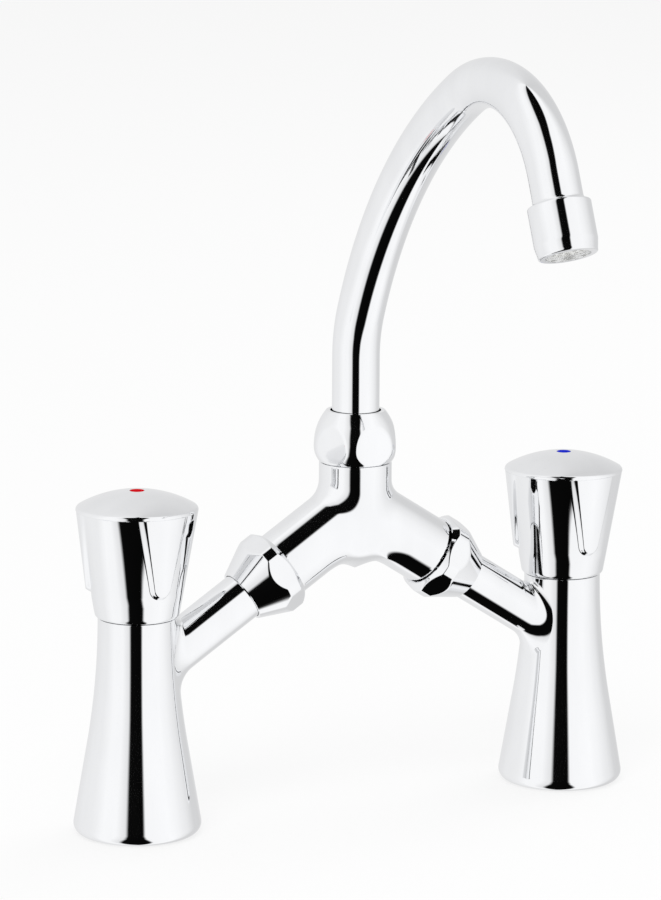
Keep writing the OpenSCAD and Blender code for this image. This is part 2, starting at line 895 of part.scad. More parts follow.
// Insert with a wall round the jets, standing on the housing's lip
module aerator_insert() {
    plate_t = 2;
    jet_ring_r = 5.6;
    color("whitesmoke")
        on_aerator()
            difference() {
                ring(spout_r - 0.05, 0, strainer_end, insert_end);
                ring(jet_ring_r + 1.4, 0, strainer_end + plate_t, insert_end - plate_t);
                for (i = [0 : jets - 1])
                    rotate([0, 0, 360 / jets * i])
                        translate([jet_ring_r, 0, strainer_end - cut])
                            cylinder(d = jet_d, h = insert_end - strainer_end + 2 * cut);
                for (i = [0 : jets / 2 - 1])
                    rotate([0, 0, 720 / jets * i])
                        translate([jet_ring_r / 2, 0, strainer_end - cut])
                            cylinder(d = jet_d, h = insert_end - strainer_end + 2 * cut);
            }
}

pillar(HOT);  // hot_pillar
pillar(COLD);  // cold_pillar
on_tap(HOT) base_seal();  // hot_base_seal
on_tap(COLD) base_seal();  // cold_base_seal
on_tap(HOT) bonnet();  // hot_bonnet
on_tap(COLD) bonnet();  // cold_bonnet
on_tap(HOT) bonnet_washer();  // hot_bonnet_washer
on_tap(COLD) bonnet_washer();  // cold_bonnet_washer
on_tap(HOT) spindle();  // hot_spindle
on_tap(COLD) spindle();  // cold_spindle
on_tap(HOT) spindle_oring();  // hot_spindle_oring
on_tap(COLD) spindle_oring();  // cold_spindle_oring
on_tap(HOT) spindle_clip();  // hot_spindle_clip
on_tap(COLD) spindle_clip();  // cold_spindle_clip
on_tap(HOT) valve_carrier();  // hot_valve_carrier
on_tap(COLD) valve_carrier();  // cold_valve_carrier
on_tap(HOT) valve_washer();  // hot_valve_washer
on_tap(COLD) valve_washer();  // cold_valve_washer
on_tap(HOT) washer_screw();  // hot_washer_screw
on_tap(COLD) washer_screw();  // cold_washer_screw
on_tap(HOT) handle();  // hot_handle
on_tap(COLD) handle();  // cold_handle
on_tap(HOT) handle_screw();  // hot_handle_screw
on_tap(COLD) handle_screw();  // cold_handle_screw
on_tap(HOT) handle_cap();  // hot_handle_cap
on_tap(COLD) handle_cap();  // cold_handle_cap
color("firebrick") on_tap(HOT) index_dot();  // hot_index
color("royalblue") on_tap(COLD) index_dot();  // cold_index
on_arm(HOT) union_nut();  // hot_union_nut
on_arm(COLD) union_nut();  // cold_union_nut
on_arm(HOT) union_seal();  // hot_union_seal
on_arm(COLD) union_seal();  // cold_union_seal
on_arm(HOT) union_ring();  // hot_union_ring
on_arm(COLD) union_ring();  // cold_union_ring
bridge_body();
swivel_nut();
slip_ring();
swivel_ring();
spout_tube();
spout_bush();
spout_orings();
aerator_housing();
aerator_seal();
aerator_strainer();
aerator_insert();
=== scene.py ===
"""Two-handle deck mixer with a bridge and a swan-neck spout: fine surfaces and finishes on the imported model.

Sizes are in millimetres, in the model's frame. Each mesh is scaled to metres when it is made.
"""
import json
import math

import bpy
import numpy as np
from mathutils import Matrix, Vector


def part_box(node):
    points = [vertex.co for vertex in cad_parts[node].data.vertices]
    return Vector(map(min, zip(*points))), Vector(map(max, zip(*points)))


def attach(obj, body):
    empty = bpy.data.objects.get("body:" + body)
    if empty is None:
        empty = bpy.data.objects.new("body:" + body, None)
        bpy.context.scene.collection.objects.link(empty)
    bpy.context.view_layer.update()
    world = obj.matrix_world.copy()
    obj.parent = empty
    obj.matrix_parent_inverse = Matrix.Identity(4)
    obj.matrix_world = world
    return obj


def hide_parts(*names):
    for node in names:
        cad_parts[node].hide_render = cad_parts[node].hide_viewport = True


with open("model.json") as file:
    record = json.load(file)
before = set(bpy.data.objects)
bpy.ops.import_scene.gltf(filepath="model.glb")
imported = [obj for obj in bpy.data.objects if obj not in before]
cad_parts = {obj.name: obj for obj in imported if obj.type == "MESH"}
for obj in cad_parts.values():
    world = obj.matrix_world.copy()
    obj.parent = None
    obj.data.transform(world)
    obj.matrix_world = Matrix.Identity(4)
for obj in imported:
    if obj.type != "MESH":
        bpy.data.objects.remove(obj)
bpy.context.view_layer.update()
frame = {"nodes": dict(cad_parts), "record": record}

MM = 0.001
HOT = -1
COLD = 1
SIDES = {"hot": HOT, "cold": COLD}

# Corners steeper than this stay sharp in the shading
SHARP_ANGLE = math.radians(35)

# Columns round the turned pieces and the arms, and round the pieces that need more or fewer
ROUND = 144
NUT_COLUMNS = 360
BRIDGE_COLUMNS = 288
CAP_COLUMNS = 192
TUBE_COLUMNS = 96
DOT_COLUMNS = 72


def low(node):
    """Lowest corner of a node's box in millimetres."""
    return np.array(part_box(node)[0]) / MM


def high(node):
    """Highest corner of a node's box in millimetres."""
    return np.array(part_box(node)[1]) / MM


# Sizes of the pillars
tap_x = (low("cold_base_seal")[0] + high("cold_base_seal")[0]) / 2
handle_gap = 0.12
grip_z = low("hot_handle")[2]
pillar_h = grip_z - handle_gap
foot_r = high("hot_pillar")[1]
foot_round = 3.9
pillar_r = 14.6
cone_top_z = 32.0
hollow_r = 280.0
top_round = 0.35
inlet_r = 9.32
inlet_depth = 16.0
water_r = 6.5
port_z = 58.0
seat_z = 48.0
seat_lip_r = 7.9
seat_lip_h = 1.5
chamber_r = 10.0
chamber_top_z = 70.5
bonnet_hole_r = 10.45
counterbore_r = 13.0
counterbore_depth = 5.0
seal_groove_in_r = 15.0
seal_groove_out_r = 18.8
seal_groove_h = 2.0

# Sizes of the arms, unions and bridge, measured along an arm from the point where the axes meet
slope = math.radians(32.5)
meet_z = port_z + tap_x * math.tan(slope)
arm_r = 9.2
arm_end = 46.5
arm_fillet_low = 7.0
arm_fillet_top = 3.0
arm_sink = 0.8
union_start = 36.9
union_len = 18.8
union_flat = 15.0
union_flats = 6
union_r = 16.2
union_small_r = 20.6 / 2
union_cone_len = 12.0
union_chamfer = 2.1
union_turn = math.radians(14)
union_blend = 0.35
union_recess_r = 13.6
union_recess_len = 2.5
union_bore_r = 12.05
union_bore_len = 12.6
union_hole_r = 9.4
bridge_r = 13.0
bridge_bend_r = 38.0
bridge_stub_end = 38.4
bridge_far = 70.0
bend_top_z = meet_z - bridge_bend_r * (1 / math.cos(slope) - 1)
stem_r = 13.7
stem_edge = 0.5
stem_thread_r = 12.0
stem_socket_r = 10.66
neck_blend_front = 2.0
neck_blend_side = 7.0
neck_inset = 0.1
neck_rise = 8.0
neck_fade = 20.0

# Sizes of the swivel nut
swivel_low_z = low("swivel_nut")[2] + 0.9
swivel_top_z = high("swivel_nut")[2]
swivel_flat = 13.9
swivel_r = 15.8
swivel_turn = math.radians(-86)
swivel_flats = 5
swivel_blend = 0.4
swivel_waist = 5.9
swivel_lower_r = 9.5
swivel_upper_r = 21.5
swivel_bore_r = 12.05
swivel_bore_len = 12.8
swivel_hole_r = 9.6
shoulder_z = swivel_low_z - 0.3
stem_top_z = high("bridge_body")[2]

# Sizes of the spout and aerator; each bend has its radius and its angle in degrees
spout_r = 8.93
spout_bore_r = 8.0
spout_low_z = low("spout_tube")[2]
riser_len = 20.1
drop_len = 10.2
aerator_thread_len = 7.0
spout_bends = [(44.4, 22.5), (185.4, 38.5), (45.2, 96.3)]
riser_rings = 30
ring_step = 1.3
aerator_r = 11.2
aerator_len = 18.4
aerator_fillet = 1.4
aerator_edge = 0.7
aerator_taper = 0.7
aerator_taper_len = 4.5
aerator_taper_edge = 0.4
aerator_bore_r = 9.05
aerator_lip_r = 8.05
aerator_lip_len = 1.6
mouth_round = 0.6
mouth_edge = 0.2
thin_edge = 0.02

# Sizes of the handles
rim_z = high("hot_handle")[2]
grip_h = rim_z - grip_z
grip_low_r = 15.5
rim_r = (high("hot_handle_cap")[0] - low("hot_handle_cap")[0]) / 2
low_round = 1.5
lobes = 3
lobe_z = 10.5
lobe_low_r = 19.0
lobe_top_r = 22.5
lobe_end_r = 3.6
lobe_top_half_w = 8.5
lobe_side_lean = math.radians(10.6)
lobe_turn = math.radians(5.5)
wall_low = 1.3
wall_top = 3.2
wall_start = 0.3
wall_ease = 0.95
dip_low = 0.3
dip_top = 1.0
dip_start = 3.0
hollow_low_r = 12.2
hollow_top_r = 16.0
web_z = rim_z - 10.2
boss_r = 6.5
boss_z = 99.0
drive_hole_r = 4.05
spindle_top_z = web_z + 0.5
screw_hole_r = 2.2
screw_seat_r = 4.3
cap_recess_r = 17.0
cap_recess_z = rim_z - 3.7
screw_seat_z = cap_recess_z - 3
cap_gap = 0.05
cap_wall = 2.0
cap_edge = 0.2
dome_top_z = high("hot_index")[2] - 0.1
dome_side_z = rim_z + 1.1
rim_round = 1.5
index_r = 2.75
index_t = 0.8
index_gap = 0.05
index_round = 0.25
index_side = 0.15
index_rise = 0.08
index_hole_r = 1.0


# Meshes from grids of points

def band_faces(rows, columns, closed):
    """Four-sided faces between neighbouring rings of a grid. Where closed, the last ring meets the first."""
    lower = np.arange(rows if closed else rows - 1)[:, None]
    upper = (lower + 1) % rows
    column = np.arange(columns)[None, :]
    after = (column + 1) % columns
    corners = [
        lower * columns + column,
        lower * columns + after,
        upper * columns + after,
        upper * columns + column,
    ]
    return np.stack(corners, axis=-1).reshape(-1, 4)


def loop_skin(points):
    """Skin of a grid whose rings go round and whose rows come back to the first ring, as on a sleeve."""
    rows, columns, _ = points.shape
    return points.reshape(-1, 3), band_faces(rows, columns, True).tolist()


def capped_skin(points):
    """Skin of a grid whose rings go round, closed at each end by a fan to the middle of the end ring."""
    rows, columns, _ = points.shape
    middles = np.stack([points[0].mean(axis=0), points[-1].mean(axis=0)])
    column = np.arange(columns)
    after = (column + 1) % columns
    last = (rows - 1) * columns
    first_fan = np.stack([np.full(columns, rows * columns), after, column], axis=-1)
    last_fan = np.stack([np.full(columns, rows * columns + 1), last + column, last + after], axis=-1)
    faces = band_faces(rows, columns, False).tolist() + first_fan.tolist() + last_fan.tolist()
    return np.concatenate([points.reshape(-1, 3), middles]), faces


def add_piece(name, body, node, finish, *skins):
    """Makes one piece from skins, in metres, gives it a finish and lets it stand for a node of a body."""
    vertices = []
    faces = []
    count = 0
    for points, skin_faces in skins:
        vertices.append(points)
        faces += [[corner + count for corner in face] for face in skin_faces]
        count += len(points)
    mesh = bpy.data.meshes.new(name)
    mesh.from_pydata((np.concatenate(vertices) * MM).tolist(), [], faces)
    mesh.shade_smooth()
    mesh.set_sharp_from_angle(angle=SHARP_ANGLE)
    mesh.materials.append(finish)
    piece = bpy.data.objects.new(name, mesh)
    bpy.context.scene.collection.objects.link(piece)
    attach(piece, body)
    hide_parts(node)
    return piece


# Profiles and places

def arc(centre_r, centre_z, radius, start, end, steps):
    """Points of a round stretch: the centre plus the radius at angles from start to end, in degrees."""
    angle = np.radians(np.linspace(start, end, steps + 1))
    return np.stack([centre_r + radius * np.cos(angle), centre_z + radius * np.sin(angle)], axis=-1)


def stretch(r_a, z_a, r_b, z_b, step=1.0):
    """Points of a straight stretch between two places, about a step apart."""
    count = max(1, math.ceil(math.hypot(r_b - r_a, z_b - z_a) / step))
    t = np.linspace(0, 1, count + 1)[:, None]
    return (1 - t) * [r_a, z_a] + t * [r_b, z_b]


def outline(*stretches):
    """Joins stretches of a profile and leaves out points that repeat the one before."""
    points = np.concatenate([np.atleast_2d(part) for part in stretches])
    keep = np.append(True, np.hypot(*np.diff(points, axis=0).T) > 1e-4)
    return points[keep]


def turned(profile, columns=ROUND):
    """Grid of a turned form: each profile point (radius, height) goes round the axis."""
    angle = np.arange(columns) * 2 * math.pi / columns
    r = profile[:, 0][:, None]
    z = np.broadcast_to(profile[:, 1][:, None], (len(profile), columns))
    return np.stack([r * np.cos(angle), r * np.sin(angle), z], axis=-1)


def put(points, place):
    """Carries a grid into a place: origin, X, Y and Z axis. In a mirrored place its rings are reversed."""
    origin, x_axis, y_axis, z_axis = (np.array(v, float) for v in place)
    moved = origin + points[..., 0:1] * x_axis + points[..., 1:2] * y_axis + points[..., 2:3] * z_axis
    return moved[:, ::-1] if np.dot(np.cross(x_axis, y_axis), z_axis) < 0 else moved


def tap_place(side):
    """Place of a tap's centre line on the deck."""
    return (side * tap_x, 0, 0), (1, 0, 0), (0, 1, 0), (0, 0, 1)


def arm_place(side):
    """Place of an arm, with Z along the arm from the point where the axes meet."""
    x_axis = (-side * math.sin(slope), 0, -math.cos(slope))
    z_axis = (side * math.cos(slope), 0, -math.sin(slope))
    return (0, 0, meet_z), x_axis, (0, 1, 0), z_axis


def soft_min(a, b, blend):
    """The smaller of two values, eased by a parabola where they differ by less than the blend."""
    near = np.maximum(blend - np.abs(a - b), 0) / blend
    return np.minimum(a, b) - near * near * blend / 4


def root_along(depth, near, far, turns=42):
    """Distance where a depth turns from below zero to above, found by halving the way from near to far."""
    for _ in range(turns):
        middle = (near + far) / 2
        inside = depth(middle) < 0
        near = np.where(inside, middle, near)
        far = np.where(inside, far, middle)
    return (near + far) / 2


# Pillars

cone_top_r = pillar_r + hollow_r - math.sqrt(hollow_r**2 - (pillar_h - cone_top_z) ** 2)
cone_angle = math.atan((foot_r - cone_top_r) / (cone_top_z - foot_round))
foot_top_z = foot_round * (1 + math.sin(cone_angle))
foot_top_r = foot_r - foot_round * (1 - math.cos(cone_angle))


def pillar_radius(z):
    """Outer radius at a height: a straight cone up to cone_top_z, then a hollow arc that ends upright."""
    cone = foot_top_r + (cone_top_r - foot_top_r) * (z - foot_top_z) / (cone_top_z - foot_top_z)
    hollow = pillar_r + hollow_r - np.sqrt(hollow_r**2 - (pillar_h - z) ** 2)
    return np.where(z < cone_top_z, cone, hollow)


def pillar_casing():
    """Turned pillar: rounded foot, cone and hollow outside, counterbore, chamber, seat and socket inside."""
    z = np.linspace(foot_top_z, pillar_h - top_round, 100)
    ledge_z = pillar_h - counterbore_depth
    profile = outline(
        arc(foot_r - foot_round, foot_round, foot_round, -90, math.degrees(cone_angle), 16),
        np.stack([pillar_radius(z), z], axis=-1),
        arc(pillar_r - top_round, pillar_h - top_round, top_round, 0, 90, 6),
        [counterbore_r, pillar_h],
        [counterbore_r, ledge_z],
        [bonnet_hole_r, ledge_z],
        [bonnet_hole_r, chamber_top_z],
        [chamber_r, chamber_top_z],
        [chamber_r, seat_z - seat_lip_h],
        [seat_lip_r, seat_z - seat_lip_h],
        [seat_lip_r, seat_z],
        [water_r, seat_z],
        [water_r, inlet_depth],
        [inlet_r, inlet_depth],
        [inlet_r, 0],
        [seal_groove_in_r, 0],
        [seal_groove_in_r, seal_groove_h],
        [seal_groove_out_r, seal_groove_h],
        [seal_groove_out_r, 0],
    )
    return turned(profile)


def pillar_arm(side):
    """An arm that ends in a fillet on the pillar.

    Each line along the arm stops where it meets the pillar. A circular blend leaves the line one leg before
    that point and lands on the pillar one leg away from it, square to the meeting curve. The legs grow from
    arm_fillet_top above to arm_fillet_low below. The last ring lies inside the pillar.
    """
    angle = np.arange(ROUND) * 2 * math.pi / ROUND
    origin, x_axis, y_axis, along = (np.array(v, float) for v in arm_place(side))
    out = np.cos(angle)[:, None] * x_axis + np.sin(angle)[:, None] * y_axis
    centre = np.array([side * tap_x, 0, 0])

    def outside_pillar(t):
        p = origin + arm_r * out + t[:, None] * along - centre
        return pillar_radius(p[:, 2]) - np.hypot(p[:, 0], p[:, 1])

    axis_len = tap_x / math.cos(slope)
    meet_t = root_along(outside_pillar, np.full(ROUND, arm_end), np.full(ROUND, axis_len))
    meet = origin + arm_r * out + meet_t[:, None] * along
    radial = (meet - centre) * [1, 1, 0]
    radial /= np.linalg.norm(radial, axis=1, keepdims=True)
    # Growth of the pillar's radius over one millimetre of height
    lean = (pillar_radius(meet[:, 2] + 0.5) - pillar_radius(meet[:, 2] - 0.5))[:, None]
    normal = radial - lean * [0, 0, 1]
    normal /= np.linalg.norm(normal, axis=1, keepdims=True)
    spread = out - (out * normal).sum(axis=1, keepdims=True) * normal
    spread /= np.linalg.norm(spread, axis=1, keepdims=True)
    leg = (arm_fillet_low + (arm_fillet_top - arm_fillet_low) * (1 + out[:, 2]) / 2)[:, None]
    start = meet - leg * along
    end = meet + leg * spread
    end_out = (end - centre) * [1, 1, 0]
    end_out /= np.linalg.norm(end_out, axis=1, keepdims=True)
    end_r = pillar_radius(end[:, 2])[:, None] - thin_edge / 2
    end = centre + end_r * end_out + end[:, 2:3] * [0, 0, 1]
    opening = np.arccos(np.clip((-along * spread).sum(axis=1), -1, 1))[:, None]
    weight = np.sin(opening / 2)
    rows = []
    first = origin + arm_r * out + arm_end * along
    for t in np.linspace(0, 1, 24)[:-1]:
        rows.append(first + (start - first) * t)
    for t in np.linspace(0, 1, 15):
        share = (1 - t) ** 2, 2 * t * (1 - t) * weight, t**2
        rows.append((share[0] * start + share[1] * meet + share[2] * end) / (share[0] + share[1] + share[2]))
    rows.append(centre + end_r * arm_sink * end_out + end[:, 2:3] * [0, 0, 1])
    grid = np.stack(rows)
    return grid[:, ::-1] if side == HOT else grid


# Unions and bridge

def nut_grid(z, body_r, flat, flats, turn, blend):
    """Rings of a nut: the smaller of its turned radius and the distance to its flats, with eased edges.

    The distance to a flat is its distance from the axis over the cosine of the angle to its middle. The
    cosine is held at 0.3, where the flat is far outside the nut.
    """
    angle = np.arange(NUT_COLUMNS) * 2 * math.pi / NUT_COLUMNS
    r = np.broadcast_to(body_r[:, None], (len(z), NUT_COLUMNS))
    for k in range(flats):
        facing = np.maximum(np.cos(angle - turn - k * 2 * math.pi / flats), 0.3)
        r = soft_min(r, np.broadcast_to(flat / facing, r.shape), blend)
    height = np.broadcast_to(z[:, None], r.shape)
    return np.stack([r * np.cos(angle), r * np.sin(angle), height], axis=-1)


def union_nut():
    """Union nut along +Z: a chamfered rim, a turned stretch and a long cone, cut by its flats, and a bore."""
    end = union_start + union_len
    z = np.linspace(union_start, end, 96)
    body_r = np.interp(
        z,
        [union_start, union_start + union_chamfer, end - union_cone_len, end],
        [union_r - union_chamfer, union_r, union_r, union_small_r],
    )
    bore = outline(
        [union_hole_r, end],
        [union_hole_r, union_start + union_bore_len],
        [union_bore_r, union_start + union_bore_len],
        [union_bore_r, union_start + union_recess_len],
        [union_recess_r, union_start + union_recess_len],
        [union_recess_r, union_start],
    )
    outside = nut_grid(z, body_r, union_flat, union_flats, union_turn, union_blend)
    return np.concatenate([outside, turned(bore, NUT_COLUMNS)])


def swivel_nut():
    """Swivel nut: two arcs that meet at its waist, cut by its flats, one of them to the front, and a bore."""
    waist_z = swivel_low_z + swivel_waist
    z = np.linspace(swivel_low_z, swivel_top_z, 100)
    arc_r = np.where(z < waist_z, swivel_lower_r, swivel_upper_r)
    body_r = swivel_r - arc_r + np.sqrt(arc_r**2 - (z - waist_z) ** 2)
    bore_top = swivel_low_z + swivel_bore_len
    bore = outline(
        [swivel_hole_r, swivel_top_z],
        [swivel_hole_r, bore_top],
        [swivel_bore_r, bore_top],
        [swivel_bore_r, swivel_low_z],
    )
    outside = nut_grid(z, body_r, swivel_flat, swivel_flats, swivel_turn, swivel_blend)
    return np.concatenate([outside, turned(bore, NUT_COLUMNS)])


def bridge_depth(x, y, z):
    """How far a point lies outside the bridge: the bent pipe and the stem, joined by a fillet.

    The pipe's depth is the distance to its middle less the radius. The middle is a band: below it ends at the
    centre line with its bend, above at the two straight lines of the arms, so the arms run straight up to the
    stem. The stem's depth is the distance to its axis less its radius, which grows over neck_rise above the
    top of the bend's centre line and shrinks with the square of the depth below it. So the stem fades into
    the pipe's front and back, but its foot still shows underneath, 3 mm below the pipe. The soft minimum of
    the two depths blends over a length that is shorter where their surfaces face the same way.
    """
    centre_z = bend_top_z - bridge_bend_r
    across = np.abs(x)
    turn = np.minimum(np.arctan2(across, z - centre_z), slope)
    start_x = bridge_bend_r * np.sin(turn)
    start_z = centre_z + bridge_bend_r * np.cos(turn)
    bent = (across - start_x) * np.sin(turn) + (z - start_z) * np.cos(turn)
    straight = across * math.sin(slope) + (z - meet_z) * math.cos(slope)
    above = np.where(straight > 0, straight, np.minimum(bent, 0))
    lean = np.where(straight > 0, slope, turn)
    from_line = np.maximum(np.hypot(y, above), 1e-6)
    pipe = from_line - bridge_r
    from_axis = np.maximum(np.hypot(x, y), 1e-6)
    rise = np.clip((z - bend_top_z) / neck_rise, 0, 1)
    sink = np.minimum(z - bend_top_z, 0)
    foot_of_stem = bridge_r - neck_inset
    wide = foot_of_stem + (stem_r - foot_of_stem) * rise * rise * (3 - 2 * rise) - sink * sink / neck_fade
    stem = from_axis - wide
    alike = (y * y + above * np.sin(lean) * across) / (from_line * from_axis)
    blend = neck_blend_front + (neck_blend_side - neck_blend_front) * (1 - np.clip(alike, 0, 1))
    return soft_min(pipe, stem, blend)


def bridge_skin():
    """Bridge as seen from its middle: for each direction, the distance where the bridge's depth reaches zero.

    Rings go from nearly straight down up to the stem's shoulder, closer together from 12 degrees up, then
    over the shoulder and the thread into the socket.
    """
    angle = np.arange(BRIDGE_COLUMNS) * 2 * math.pi / BRIDGE_COLUMNS
    edge = math.atan2(shoulder_z - stem_edge - bend_top_z, stem_r)
    lowest = -math.radians(89)
    closer = math.radians(12)
    rows = np.concatenate([np.linspace(lowest, closer, 110)[:-1], np.linspace(closer, edge, 60)])
    flat = np.cos(rows)[:, None]
    rise = np.broadcast_to(np.sin(rows)[:, None], (len(rows), BRIDGE_COLUMNS))
    way_x = flat * np.cos(angle)
    way_y = flat * np.sin(angle)

    def depth(distance):
        x = distance * way_x
        y = distance * way_y
        z = bend_top_z + distance * rise
        along = np.abs(x) * math.cos(slope) - (z - meet_z) * math.sin(slope)
        return np.maximum(bridge_depth(x, y, z), along - bridge_stub_end)

    reach = root_along(depth, np.zeros(way_x.shape), np.full(way_x.shape, bridge_far))
    body = np.stack([reach * way_x, reach * way_y, bend_top_z + reach * rise], axis=-1)
    collar = outline(
        arc(stem_r - stem_edge, shoulder_z - stem_edge, stem_edge, 15, 90, 6),
        [stem_thread_r, shoulder_z],
        [stem_thread_r, stem_top_z],
        [stem_socket_r, stem_top_z],
        [stem_socket_r, shoulder_z],
    )
    return np.concatenate([body, turned(collar, BRIDGE_COLUMNS)])


# Spout and aerator

def spout_route(end_len):
    """Places along the spout as Y, height and lean, from straight stretches and the bends between them."""
    first = swivel_top_z + riser_len - spout_low_z
    y, z, lean = [np.zeros(1)], [np.array([spout_low_z])], [np.zeros(1)]

    def forward(length, count):
        t = np.linspace(0, length, count + 1)[1:]
        a = lean[-1][-1]
        y.append(y[-1][-1] - t * math.sin(a))
        z.append(z[-1][-1] + t * math.cos(a))
        lean.append(np.full(count, a))

    def bend(radius, degrees, count):
        a = lean[-1][-1]
        turn = a + np.radians(np.linspace(0, degrees, count + 1)[1:])
        centre_y = y[-1][-1] - radius * math.cos(a)
        centre_z = z[-1][-1] - radius * math.sin(a)
        y.append(centre_y + radius * np.cos(turn))
        z.append(centre_z + radius * np.sin(turn))
        lean.append(turn)

    forward(first, riser_rings)
    for radius, degrees in spout_bends:
        bend(radius, degrees, math.ceil(radius * math.radians(degrees) / ring_step))
    forward(end_len, math.ceil(end_len / ring_step))
    return np.concatenate(y), np.concatenate(z), np.concatenate(lean)


def spout_tube():
    """The tube: rings of the outer radius along the route, then rings of the bore on the way back."""
    y, z, lean = spout_route(drop_len + aerator_thread_len)
    angle = np.arange(TUBE_COLUMNS) * 2 * math.pi / TUBE_COLUMNS
    halves = []
    for radius, order in ((spout_r, 1), (spout_bore_r, -1)):
        way_y = np.cos(lean)[::order, None]
        way_z = np.sin(lean)[::order, None]
        x = np.broadcast_to(radius * np.cos(angle), (len(y), TUBE_COLUMNS))
        ring_y = y[::order, None] + radius * np.sin(angle) * way_y
        ring_z = z[::order, None] + radius * np.sin(angle) * way_z
        halves.append(np.stack([x, ring_y, ring_z], axis=-1))
    return np.concatenate(halves)


def aerator_place():
    """Place of the aerator's axis, from the end of the part of the spout that shows."""
    y, z, lean = spout_route(drop_len)
    a = lean[-1]
    return (0, y[-1], z[-1]), (1, 0, 0), (0, math.cos(a), math.sin(a)), (0, -math.sin(a), math.cos(a))


def aerator_housing():
    """Turned sleeve: a hollow fillet up to the tube, a rounded edge, a side with a taper and the bore."""
    fillet_r = aerator_bore_r + thin_edge + aerator_fillet
    taper_z = aerator_len - aerator_taper_len
    mouth_r = aerator_r - aerator_taper
    mouth_z = aerator_len - thin_edge - mouth_round
    profile = outline(
        [aerator_bore_r, -aerator_fillet],
        arc(fillet_r, -aerator_fillet, aerator_fillet, 180, 90, 10),
        arc(aerator_r - aerator_edge, aerator_edge, aerator_edge, -90, 0, 8),
        stretch(aerator_r, aerator_edge, aerator_r, taper_z - aerator_taper_edge, step=0.6),
        stretch(aerator_r - thin_edge, taper_z, mouth_r, aerator_len - 1.5 * mouth_round, step=0.5),
        arc(mouth_r - mouth_round, mouth_z, mouth_round, 10, 80, 7),
        stretch(mouth_r - mouth_round - mouth_edge, aerator_len, aerator_lip_r, aerator_len, step=0.4),
        [aerator_lip_r, aerator_len - aerator_lip_len],
        [aerator_bore_r, aerator_len - aerator_lip_len],
    )
    return turned(profile[::-1])


# Handles

def grip_radius(h):
    """Radius of the grip's cone at a height, rounded at its lower edge."""
    cone = grip_low_r + (rim_r - grip_low_r) * h / grip_h
    under = np.maximum(low_round - h, 0)
    return cone - (low_round - np.sqrt(low_round**2 - under**2))


def handle_grip():
    """Three-lobed grip.

    On each ring the radius is that of the lobe's face inside its outline and that of the cone less a dip
    outside it. The wall between is a cubic ease of the distance to the outline, round at its foot. The
    outline is a half circle with two straight sides that open upwards, and the columns lie close along it.
    One half of a lobe is worked out, from its middle to the middle of the valley, then mirrored and repeated.
    """
    end_z = lobe_z + lobe_end_r
    taper = math.asin((lobe_top_half_w * math.cos(lobe_side_lean) - lobe_end_r) / (grip_h - end_z))
    # Rings lie close together over the round lower ends of the lobes
    close_from = lobe_z - 1.5
    close_to = end_z + 0.5
    rows = np.concatenate([
        low_round * (1 - np.cos(np.radians(np.linspace(0, 90, 9))))[:-1],
        np.linspace(low_round, close_from, 14)[:-1],
        np.linspace(close_from, close_to, 40)[:-1],
        np.linspace(close_to, grip_h, 40),
    ])
    h = rows[:, None]
    height = np.clip((h - lobe_z) / (grip_h - lobe_z), 0, 1)
    lobe_r = lobe_low_r + (lobe_top_r - lobe_low_r) * height
    side = (lobe_end_r + np.maximum(h - end_z, 0) * math.sin(taper)) / math.cos(taper)
    wall = wall_low + (wall_top - wall_low) * height
    pitch = math.pi / lobes
    wall_from = side - 0.5
    wall_to = side + wall + 0.4
    face = np.linspace(0, 1, 9)[None, :-1] * wall_from
    edge = wall_from + np.linspace(0, 1, 17)[None, :-1] * (wall_to - wall_from)
    valley_part = wall_to + np.linspace(0, 1, 13)[None, :-1] * (pitch * grip_radius(h) - wall_to)
    arc_len = np.concatenate([face, edge, valley_part], axis=1)
    arc_radius = grip_radius(h) + (lobe_r - grip_radius(h)) * np.clip(2 - arc_len / side, 0, 1)
    angle = np.minimum(arc_len / arc_radius, arc_len / grip_radius(h))
    middle = np.full((len(rows), 1), pitch)
    angle = np.concatenate([angle, middle], axis=1)
    away = angle * lobe_r
    beside = away * math.cos(taper) - (h - end_z) * math.sin(taper) - lobe_end_r
    around = np.hypot(away, h - end_z) - lobe_end_r
    distance = np.where(h - end_z < -math.tan(taper) * away, around, beside)
    dip = dip_low + (dip_top - dip_low) * height
    fade = np.clip((h - lobe_z + dip_start) / dip_start, 0, 1)
    outward = np.clip((distance - wall) / np.maximum(pitch * lobe_r - side - wall, 1), 0, 1)
    valley = grip_radius(h) - dip * fade * (1 + np.cos(math.pi * outward)) / 2
    t = np.clip((distance + wall_start) / (wall + wall_start), 0, 1)
    ease = (1 - t) ** 3 + 3 * (1 - t) ** 2 * t * wall_ease
    radius = valley + np.maximum(lobe_r - valley, 0) * ease
    half = np.concatenate([-angle[:, :0:-1], angle[:, :-1]], axis=1)
    half_radius = np.concatenate([radius[:, :0:-1], radius[:, :-1]], axis=1)
    turns = lobe_turn - math.pi / 2 + np.arange(lobes) * 2 * pitch
    full = np.concatenate([half + turn for turn in turns], axis=1)
    full_radius = np.tile(half_radius, (1, lobes))
    z = np.broadcast_to(grip_z + h, full.shape)
    return np.stack([full_radius * np.cos(full), full_radius * np.sin(full), z], axis=-1)


